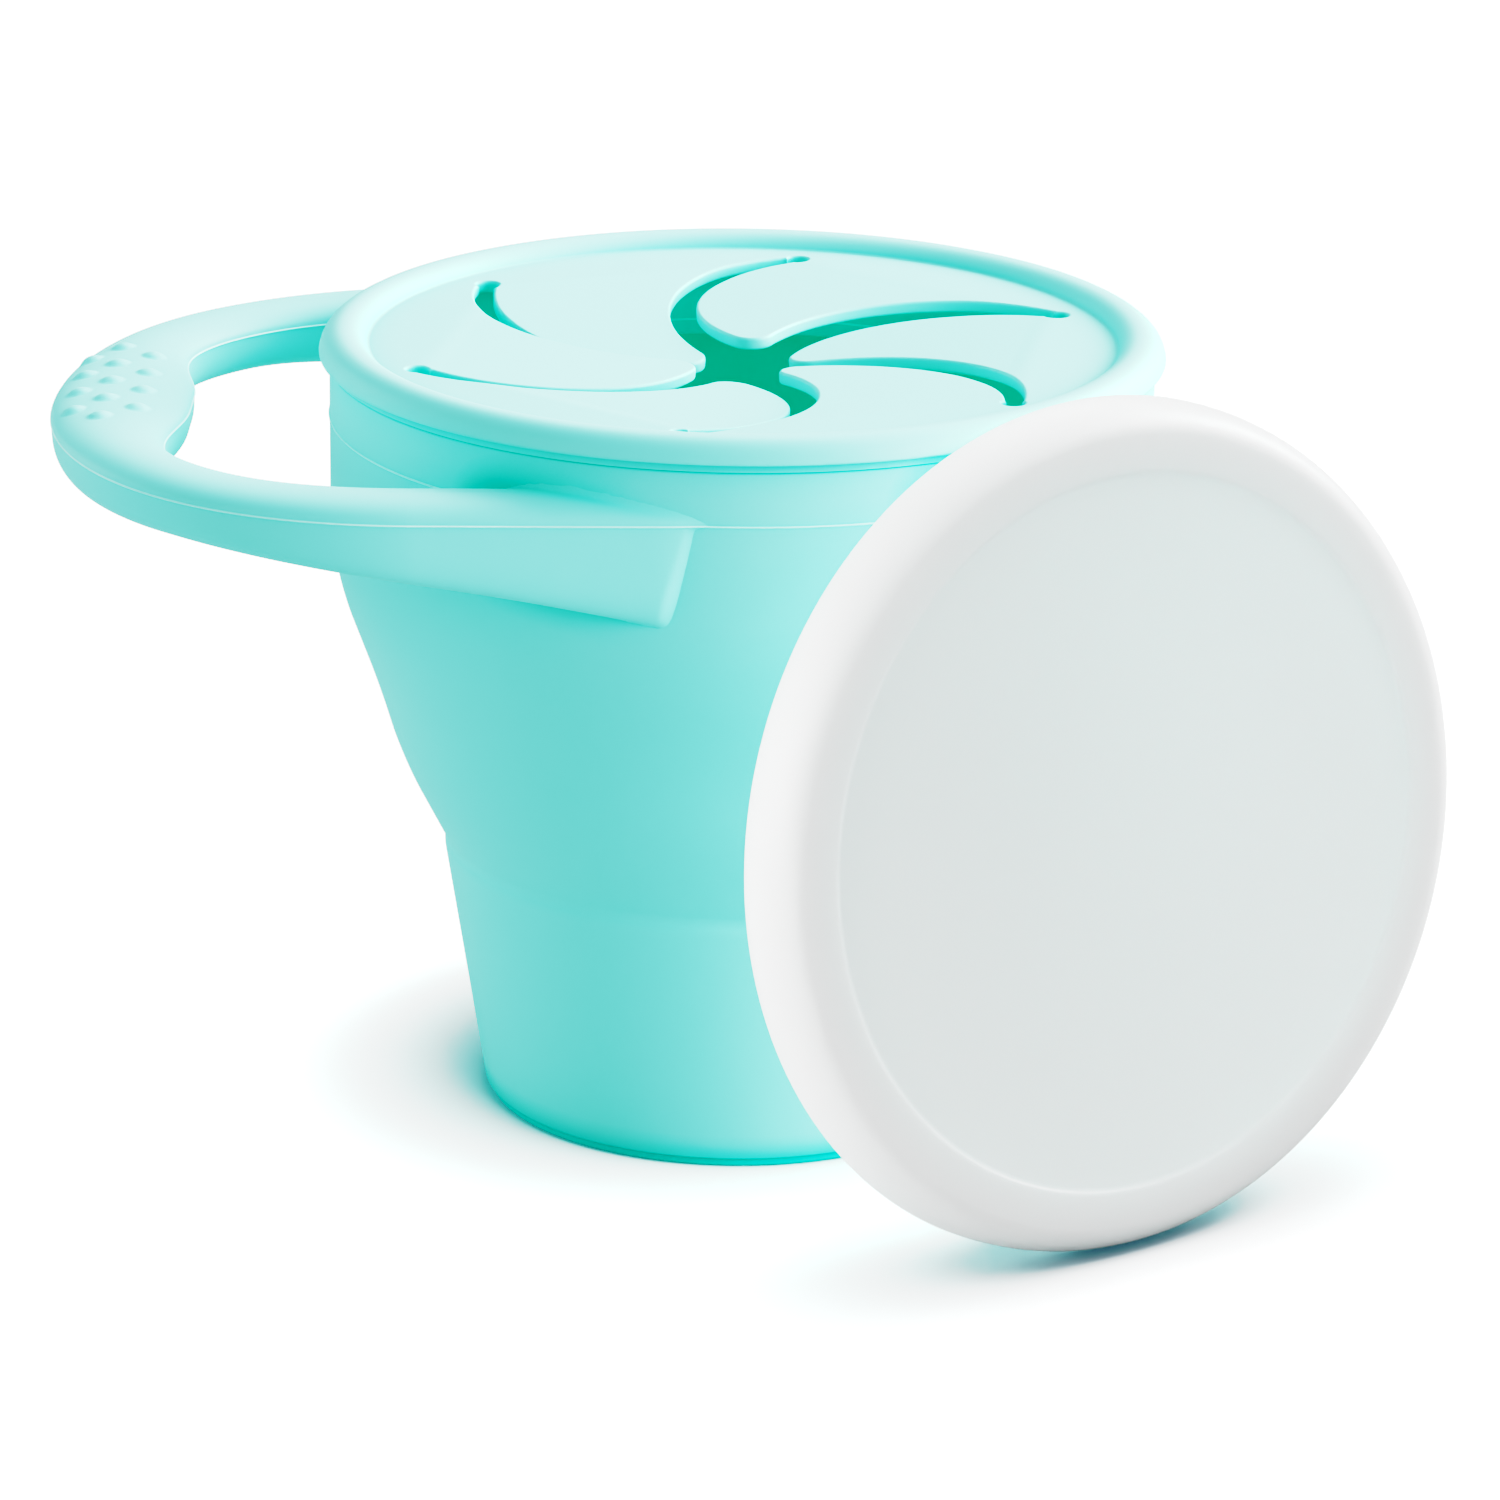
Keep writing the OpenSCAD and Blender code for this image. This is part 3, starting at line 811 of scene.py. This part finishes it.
# %% Helpers that blend
def mixed(tree, share, low, high):
    """A blend of two colours, or of another blend and a colour. Returns the node's output."""
    blend = add(tree, "ShaderNodeMix", data_type="RGBA")
    tree.links.new(share, blend.inputs["Factor"])
    for socket, colour in zip((blend.inputs[6], blend.inputs[7]), (low, high)):
        if isinstance(colour, tuple):
            socket.default_value = (*colour, 1)
        else:
            tree.links.new(colour, socket)
    return blend.outputs[2]


def ranged(tree, value, low, high):
    """0 where a value is below low, 1 where it is above high."""
    steps = add(tree, "ShaderNodeMapRange")
    steps.inputs["From Min"].default_value = low
    steps.inputs["From Max"].default_value = high
    tree.links.new(value, steps.inputs["Value"])
    return steps.outputs["Result"]


# %% [markdown]
# Silicone this thin lets light soak through. Scattering inside the mesh would show the cuts between
# the rings as dark lines, so a faint painted glow of the soaked colour stands in for it, which is
# greener inside the cup, where all the light has come through the walls. Between close walls the
# light passes through silicone again and again and turns deep, so painted shade turns the colour deep
# where the Ambient Occlusion node finds a place closed in. The mould line is a thin ridge of
# silicone, and its pale colour is a painted highlight.

# %% Mint silicone
MINT = (0.306, 0.64, 0.62)
# Painted shade: the deep mint given to hollows and close walls.
MINT_PAINTED_SHADE = (0, 0.46, 0.41)
# Painted highlight: the pale colour of the mould line's ridge.
MINT_LINE_HIGHLIGHT = (0.56, 0.84, 0.81)
# Painted light: a glow that stands in for light soaked through the silicone.
PAINTED_GLOW = (0, 0.2, 0.167)
# Painted shade inside the cup: a dimmer, greener glow than outside.
PAINTED_GLOW_INSIDE = (0, 0.17, 0.115)
PAINTED_SHADE_REACH = 4 * MM
PAINTED_SHADE_TO_OPEN = (0.4, 0.95)
LINE_TO_WALL = (0.5 * PARTING_HALF, 1.2 * PARTING_HALF)


def off_mould_line(tree):
    """0 on the mould line and 1 away from it, from the height in the cup's own frame."""
    height = add(tree, "ShaderNodeSeparateXYZ")
    tree.links.new(add(tree, "ShaderNodeTexCoord").outputs["Object"], height.inputs["Vector"])
    above = add(tree, "ShaderNodeMath", operation="SUBTRACT")
    above.inputs[1].default_value = PARTING
    tree.links.new(height.outputs["Z"], above.inputs[0])
    away = add(tree, "ShaderNodeMath", operation="ABSOLUTE")
    tree.links.new(above.outputs["Value"], away.inputs[0])
    return ranged(tree, away.outputs["Value"], *LINE_TO_WALL)


def silicone(name, glow):
    """Matt mint silicone with a painted glow, painted shade in hollows and a painted line highlight.
    """
    material, shader = grained(name, MINT, roughness=0.55, scale=2600, bump=0.25, ior=1.45)
    tree = material.node_tree
    # Painted shade: the colour turns deep mint where close walls hide the sky.
    opening = add(tree, "ShaderNodeAmbientOcclusion", samples=8)
    opening.inputs["Distance"].default_value = PAINTED_SHADE_REACH
    colour = mixed(tree, ranged(tree, opening.outputs["AO"], *PAINTED_SHADE_TO_OPEN), MINT_PAINTED_SHADE, MINT)
    # Painted highlight: a pale line along the mould line.
    tree.links.new(mixed(tree, off_mould_line(tree), MINT_LINE_HIGHLIGHT, colour), shader.inputs["Base Color"])
    shader.inputs["Sheen Weight"].default_value = 0.1
    shader.inputs["Sheen Roughness"].default_value = 0.5
    # Painted light: a glow stands in for light that soaked through the silicone.
    shader.inputs["Emission Color"].default_value = (*glow, 1)
    shader.inputs["Emission Strength"].default_value = 1
    return material


cup_finish = silicone("mint_silicone", PAINTED_GLOW)
guard_finish = silicone("mint_silicone_guard", PAINTED_GLOW)
# Painted shade: the inside of the cup glows dimmer and greener than its outside.
inside_shaded_glow = silicone("mint_silicone_inside", PAINTED_GLOW_INSIDE)
print("silicone finishes:", [finish.name for finish in (cup_finish, guard_finish, inside_shaded_glow)])

# %% [markdown]
# The lid is hard and white, but not opaque. It is one closed shell, so it can have true scattering,
# and the cup's colour shows through it a little where the two are close.

# %% Lid plastic
WHITE_PLASTIC = (0.93, 0.94, 0.94)
LIGHT_REACH = 5 * MM

lid_finish, lid_shader = grained("white_plastic", WHITE_PLASTIC, roughness=0.45, scale=3200, bump=0.2,
                                 ior=1.5)
lid_shader.inputs["Subsurface Weight"].default_value = 1
lid_shader.inputs["Subsurface Radius"].default_value = (1, 1, 1)
lid_shader.inputs["Subsurface Scale"].default_value = LIGHT_REACH
print("lid finish:", lid_finish.name)

# %% [markdown]
# The inside of the cup is painted in shade: its glow is dimmer and greener than outside, but both are
# one mesh. A mesh can hold several materials, and every face says by a number which of them it shows.

# %% Give every piece its finish
TOWARDS_AXIS = -0.3
FACING_UP = 0.5


def dress(piece, material):
    """One material over the whole piece."""
    piece.data.materials.clear()
    piece.data.materials.append(material)


def dress_inside(piece, material):
    """A second material on the faces that look at the cup's axis, and on the cup's floor."""
    piece.data.materials.append(material)
    for face in piece.data.polygons:
        to_axis = face.normal.xy.dot(face.center.xy) < TOWARDS_AXIS * face.center.xy.length
        on_floor = face.normal.z > FACING_UP and face.center.z < 2 * FLOOR
        face.material_index = 1 if to_axis or on_floor else 0


for piece in cup_pieces.values():
    dress(piece, cup_finish)
    dress_inside(piece, inside_shaded_glow)
dress(handle, cup_finish)
for piece in (guard, *flaps):
    dress(piece, guard_finish)
dress(lid, lid_finish)
for node in frame["nodes"].values():
    node.data.materials.clear()
    node.data.materials.append(lid_finish if node.name == "lid" else cup_finish)
print("dressed pieces:", len(cup_pieces) + len(flaps) + 3)

# %% [markdown]
# The camera stands where the photograph was taken from: three quarters of a metre in front, a
# forearm's length above the rim, with a long lens. Its lens is given in pixels of the photograph,
# because that is how a place in the picture turns into a direction. Blender wants millimetres.

# %% Camera
CAMERA_PLACE = Vector((0, -753.6, 290.65)) * MM
LOOK_DOWN = 0.3207
LOOK_ASIDE = 0.0019
CAMERA_ROLL = 0.0127
LENS_IN_PIXELS = 6865
FRAME_PIXELS = 1500
FULL_FRAME = 36

lens = bpy.data.cameras.new("photo_camera")
lens.sensor_width = FULL_FRAME
lens.lens = LENS_IN_PIXELS * FULL_FRAME / FRAME_PIXELS
lens.clip_start = 0.01
lens.clip_end = 50
camera = bpy.data.objects.new("photo_camera", lens)
bpy.context.scene.collection.objects.link(camera)
camera.matrix_world = (Matrix.Translation(CAMERA_PLACE) @ Matrix.Rotation(-LOOK_ASIDE, 4, "Z")
                       @ Matrix.Rotation(math.pi / 2 - LOOK_DOWN, 4, "X")
                       @ Matrix.Rotation(CAMERA_ROLL, 4, "Z"))
bpy.context.scene.camera = camera
print("lens in mm:", round(lens.lens, 1))

# %% [markdown]
# Rays from the camera see a floor and a backdrop that are brighter than what lights the cup: the
# Light Path node tells them apart, so the ground stays white and sends up only a little light.
# The floor's glow is dimmed where the pieces hide the sky to the front right, which draws the
# shadow at their feet.

# %% Floor
FLOOR_SEEN = 0.95
FLOOR_BOUNCE = 0.42
GLOW_SEEN = 2.4
GLOW_BOUNCE = 0.68
SHADE_REACH = 26 * MM
SHADE_LEAN = (0.28, -0.34, 0.9)
SHADE_TO_OPEN = (0.45, 0.97)
SHADE_COLOUR = (0.03, 0.06, 0.07)
OPEN_COLOUR = (1.0, 1.0, 1.0)
FLOOR_HALF = 6

floor_shape = bmesh.new()
bmesh.ops.create_grid(floor_shape, x_segments=2, y_segments=2, size=FLOOR_HALF)
floor = new_piece("pale_floor", floor_shape)
paper = bpy.data.materials.new("pale_paper")
paper.use_nodes = True
paper_shader = paper.node_tree.nodes["Principled BSDF"]
paper_shader.inputs["Roughness"].default_value = 0.9


def by_ray(tree, socket, others, camera):
    """Gives a socket one value for rays from the camera and another for all others."""
    ray = add(tree, "ShaderNodeLightPath")
    choice = add(tree, "ShaderNodeMapRange")
    choice.inputs["To Min"].default_value = others
    choice.inputs["To Max"].default_value = camera
    tree.links.new(ray.outputs["Is Camera Ray"], choice.inputs["Value"])
    tree.links.new(choice.outputs["Result"], socket)


floor_tree = paper.node_tree
by_ray(floor_tree, paper_shader.inputs["Base Color"], FLOOR_BOUNCE, FLOOR_SEEN)
by_ray(floor_tree, paper_shader.inputs["Emission Strength"], GLOW_BOUNCE, GLOW_SEEN)
sky = add(floor_tree, "ShaderNodeAmbientOcclusion", samples=16)
sky.inputs["Distance"].default_value = SHADE_REACH
lean = add(floor_tree, "ShaderNodeCombineXYZ")
for socket, value in zip(lean.inputs, SHADE_LEAN):
    socket.default_value = value
floor_tree.links.new(lean.outputs["Vector"], sky.inputs["Normal"])
openness = ranged(floor_tree, sky.outputs["AO"], *SHADE_TO_OPEN)
shade = mixed(floor_tree, openness, SHADE_COLOUR, OPEN_COLOUR)
floor_tree.links.new(shade, paper_shader.inputs["Emission Color"])
floor.data.materials.append(paper)

# %% [markdown]
# The light of such a picture comes mostly from above and behind, so that tops are pale and sides
# are deeper in colour. Cup and lid were lit one by one: a key light from the front right reaches
# the cup as if the lid were not there, and leaves the lid alone. The floor needs none of these
# boxes, because it glows by itself. Light linking gives a lamp such a list of receivers. Each box
# below has its place in metres, its power in watts and the pieces that it lights.

# %% Soft studio light
ROOM_LIGHT = 0.15
BACKDROP = 4
BOX_SIZE = 1
BOX_AIM = Vector((0, 0, 50)) * MM

world = bpy.data.worlds.new("white_studio")
bpy.context.scene.world = world
world.use_nodes = True
background = world.node_tree.nodes["Background"]
background.inputs["Color"].default_value = (1, 1, 1, 1)
by_ray(world.node_tree, background.inputs["Strength"], ROOM_LIGHT, BACKDROP)


def soft_box(name, place, power):
    """A square area light at a place in metres, facing the cup."""
    data = bpy.data.lights.new(name, "AREA")
    data.shape = "SQUARE"
    data.size = BOX_SIZE
    data.energy = power
    light = bpy.data.objects.new(name, data)
    facing = (BOX_AIM - Vector(place)).to_track_quat("-Z", "Y")
    light.matrix_world = Matrix.Translation(place) @ facing.to_matrix().to_4x4()
    bpy.context.scene.collection.objects.link(light)
    return light


def light_only(light, pieces):
    """The light reaches these pieces only, and only they shade one another in it."""
    group = bpy.data.collections.new("lit_by_" + light.name)
    for piece in pieces:
        group.objects.link(piece)
    light.light_linking.receiver_collection = group
    light.light_linking.blocker_collection = group


whole_cup = [*cup_pieces.values(), handle, guard, *flaps]
BOXES = [
    ("back_box", (0.3, 0.9, 1.1), 12.4, [*whole_cup, lid]),
    ("right_box", (1.2, 0.6, 0.9), 49, [*whole_cup, lid]),
    ("left_box", (-1.4, 0.75, 0.5), 12, [*whole_cup, lid]),
    ("front_left_box", (-1.2, -0.8, 0.5), 9, [*whole_cup, lid]),
    ("cup_key", (1.4, -0.5, 0.5), 50, whole_cup),
    ("lid_key", (-1.2, -0.8, 0.5), 33, [lid]),
    ("lid_fill", (1.3, -1, 0.7), 5, [lid]),
]
for name, place, power, lit in BOXES:
    light_only(soft_box(name, place, power), lit)

# %% [markdown]
# The picture's tone is a camera's: darks are pressed down a little and highlights roll off gently.
# On a mint surface that keeps shaded sides rich and turns lit tops pale. A tone curve on the view
# does it for the whole render, and no material needs to know of it.

# %% Tone curve of the view
TONE = [(0, 0), (0.1, 0.006), (0.3, 0.183), (0.45, 0.369), (0.6, 0.539), (0.72, 0.64), (0.85, 0.7),
        (1, 0.753), (1.3, 0.837), (2, 0.934), (2.3, 1)]
BRIGHTEST = TONE[-1][0]

view = bpy.context.scene.view_settings
view.view_transform = "Standard"
view.look = "None"
view.use_curve_mapping = True
view.curve_mapping.white_level = (BRIGHTEST, BRIGHTEST, BRIGHTEST)
tone = view.curve_mapping.curves[3]
tone.points[0].location = TONE[0]
tone.points[-1].location = (1, 1)
for light_in, light_out in TONE[1:-1]:
    tone.points.new(light_in / BRIGHTEST, light_out)
view.curve_mapping.update()
print("tone points:", len(tone.points))
